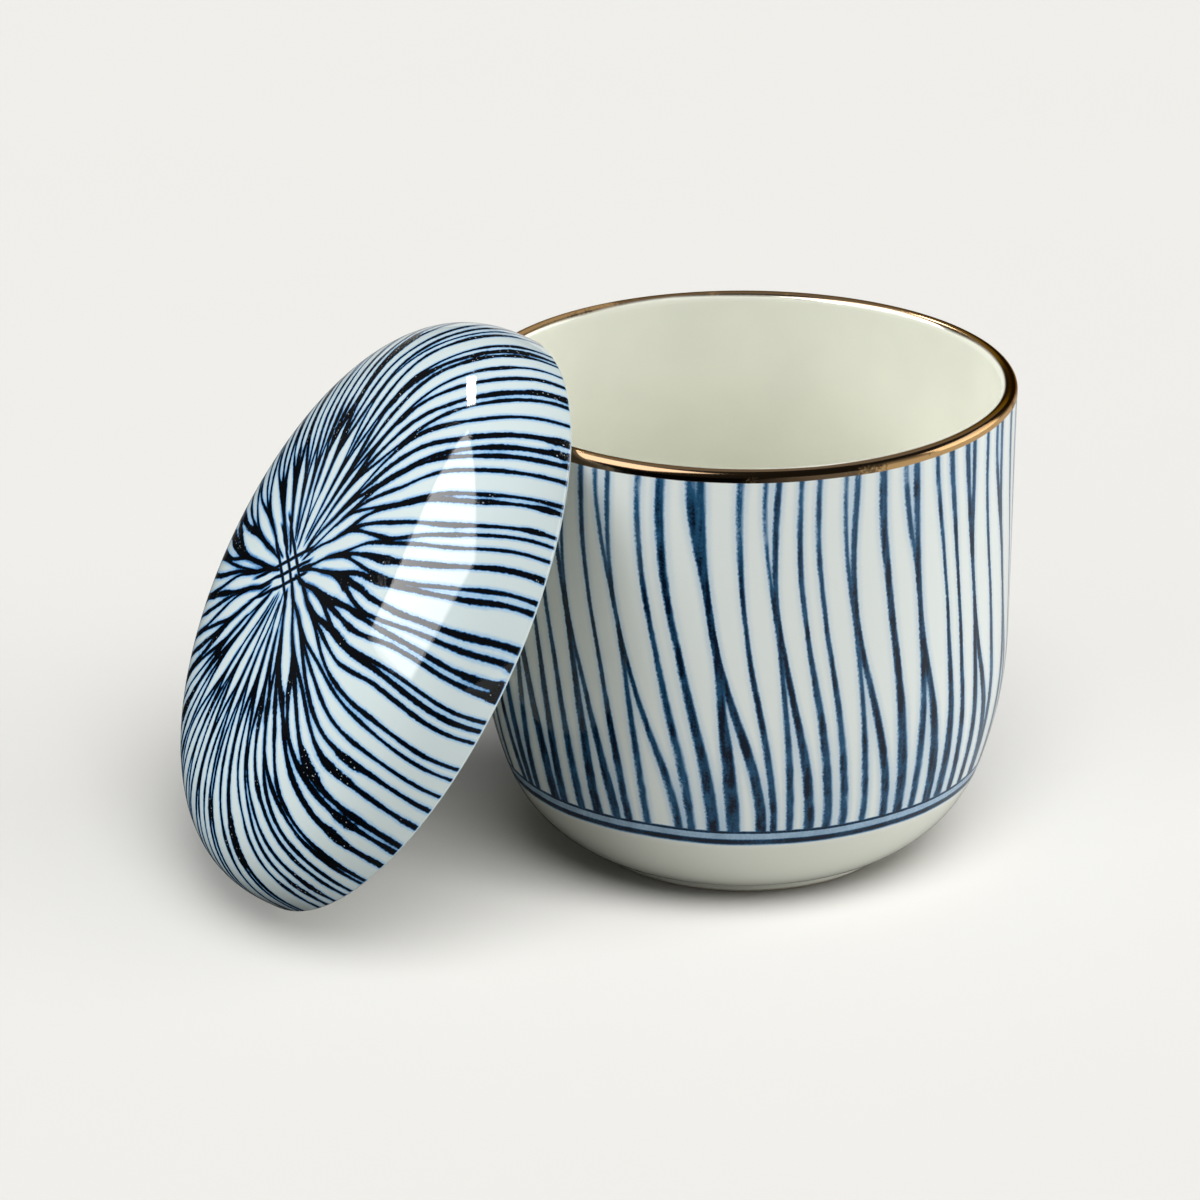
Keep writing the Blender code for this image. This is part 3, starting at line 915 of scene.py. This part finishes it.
class OBJECT_OT_turn_lid(bpy.types.Operator):
    """Turns the lid in the place of its CAD node and glazes it"""
    bl_idname = "object.turn_lid"
    bl_label = "Turn Lid"

    def execute(self, context):
        size = context.scene.porcelain_lid
        section = lid_section(size)
        sine, cosine = math.sin(size.lean), math.cos(size.lean)
        across, axis = Vector((cosine, 0.0, sine)), Vector((-sine, 0.0, cosine))
        reach = max(height * sine + radius * cosine for radius, height in section)
        drop = max(radius * sine - height * cosine for radius, height in section)
        centre = Vector((lid_low.x + reach, (lid_low.y + lid_high.y) / 2, lid_low.z + drop))
        piece = turn_on_wheel("lid_dome", section, centre, axis, across)

        def under(middle, normal):
            spoke = middle - centre
            spoke -= axis * spoke.dot(axis)
            return (spoke.length < size.radius - size.edge / 2
                    and normal.dot(axis + spoke.normalized()) < 0)

        coat(piece, lid_porcelain(size, centre), lambda middle, normal: True)
        coat(piece, plain_glaze("pale_lid_glaze", size.inner_glaze[:]), under)
        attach(piece, "lid")
        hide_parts("lid")
        return {'FINISHED'}


class OBJECT_OT_set_studio(bpy.types.Operator):
    """Lays the pale floor and sets the soft lights and the camera"""
    bl_idname = "object.set_studio"
    bl_label = "Set Studio"

    def execute(self, context):
        scene, look = context.scene, context.scene.porcelain_stage

        # The camera sees the paper. The pieces see graded cards instead: one for bounced light,
        # with painted shade under the lid, and one for reflections, whose dark left half is a
        # painted dark reflection that keeps ink deep
        sheets = [spread_sheet("studio_floor", FLOOR_DEPTH, studio_paper(look.floor[:]), "camera")]
        for name, depth, seen_by, centre, near, far in (
                ("bounce_card", 0.6 * MM, "diffuse", (-30 * MM, 0.0, 0.0), 20 * MM, 60 * MM),
                ("mirror_card", 1.2 * MM, "glossy", (-30.0, 0.0, 0.0), 29.94, 30.11)):
            card = painted_dark_card(name, look.card_painted_dark[:], look.card_pale[:], centre, near, far)
            sheets.append(spread_sheet(name, depth, card, seen_by))

        world = bpy.data.worlds.new("studio_light")
        world.use_nodes = True
        sky = world.node_tree.nodes["Background"].inputs
        sky["Color"].default_value = look.sky[:]
        sky["Strength"].default_value = look.sky_strength
        scene.world = world

        # Each lamp has its setting's power, and a turn, a height and a roll in degrees. A box has
        # its width and height in metres, and a sun has its spread in degrees
        pieces = gather("dressed_pieces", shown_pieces())
        cup = gather("dressed_cup", [bpy.data.objects["cup"]])
        ground = gather("studio_ground", sheets)
        for name, kind, turn, height, roll, wide, tall, lit in (
                ("left_box", 'AREA', 183.0, 45.0, 0.0, 2.9, 2.2, pieces),
                ("window", 'AREA', 181.0, 45.0, 0.0, 2.8, 2.1, pieces),
                ("right_box", 'AREA', 0.0, 14.0, 0.0, 1.8, 1.4, pieces),
                ("front_box", 'AREA', -50.0, 30.0, 0.0, 2.0, 1.6, pieces),
                ("back_strip", 'AREA', 105.0, 47.0, -45.0, 0.22, 0.5, pieces),
                ("back_wall", 'AREA', 75.0, 55.0, 0.0, 3.0, 3.0, cup),
                ("paper_front", 'SUN', -89.0, 58.0, 0.0, 45.0, 0.0, ground),
                ("paper_fill", 'SUN', -89.0, 58.0, 0.0, 45.0, 0.0, ground),
                ("paper_right", 'SUN', -30.0, 40.0, 0.0, 50.0, 0.0, ground),
                ("paper_left", 'SUN', -135.0, 35.0, 0.0, 40.0, 0.0, ground)):
            back = direction(math.radians(turn), math.radians(height))
            bpy.ops.object.light_add(type=kind, location=LAMP_AIM + back * look.reach)
            lamp = context.object
            lamp.name = lamp.data.name = name
            lamp.rotation_euler = facing(back, math.radians(roll))
            lamp.data.energy = getattr(look, name)
            if kind == 'AREA':
                lamp.data.shape = 'RECTANGLE'
                lamp.data.size, lamp.data.size_y = wide, tall
            else:
                lamp.data.angle = math.radians(wide)
            lamp.visible_glossy = name != "front_box"
            lamp.visible_diffuse = name not in ("window", "back_wall")
            lamp.light_linking.receiver_collection = lit
            if name in ("paper_fill", "paper_right"):
                lamp.light_linking.blocker_collection = cup

        back = direction(look.azimuth - math.pi / 2, look.elevation)
        bpy.ops.object.camera_add(location=Vector(look.target) + back * look.distance)
        camera = context.object
        camera.name = camera.data.name = "studio_camera"
        camera.rotation_euler = facing(back, look.roll)
        camera.data.sensor_width = SENSOR_WIDTH
        camera.data.lens = look.lens
        camera.data.clip_start, camera.data.clip_end = CLIP_NEAR, CLIP_FAR
        scene.camera = camera
        scene.view_settings.view_transform = 'Standard'
        return {'FINISHED'}


STEPS = (("porcelain_bowl", BowlSettings, OBJECT_OT_turn_bowl),
         ("porcelain_lid", LidSettings, OBJECT_OT_turn_lid),
         ("porcelain_stage", StageSettings, OBJECT_OT_set_studio))


class VIEW3D_PT_porcelain(bpy.types.Panel):
    """Sizes, colours and steps of the striped bowl"""
    bl_label = "Chawanmushi Bowl"
    bl_space_type = 'VIEW_3D'
    bl_region_type = 'UI'
    bl_category = "Porcelain"

    def draw(self, context):
        for place, settings, operator in STEPS:
            box = self.layout.box()
            for name in settings.__annotations__:
                box.prop(getattr(context.scene, place), name)
            box.operator(operator.bl_idname)


CLASSES = (BowlSettings, LidSettings, StageSettings, OBJECT_OT_turn_bowl, OBJECT_OT_turn_lid,
           OBJECT_OT_set_studio, VIEW3D_PT_porcelain)


def register():
    for made in CLASSES:
        bpy.utils.register_class(made)
    for place, settings, _ in STEPS:
        setattr(bpy.types.Scene, place, bpy.props.PointerProperty(type=settings))


def unregister():
    for place, _, _ in reversed(STEPS):
        delattr(bpy.types.Scene, place)
    for made in reversed(CLASSES):
        bpy.utils.unregister_class(made)


def main():
    register()
    bpy.ops.object.turn_bowl()
    bpy.ops.object.turn_lid()
    bpy.ops.object.set_studio()


if __name__ == "__main__":
    main()
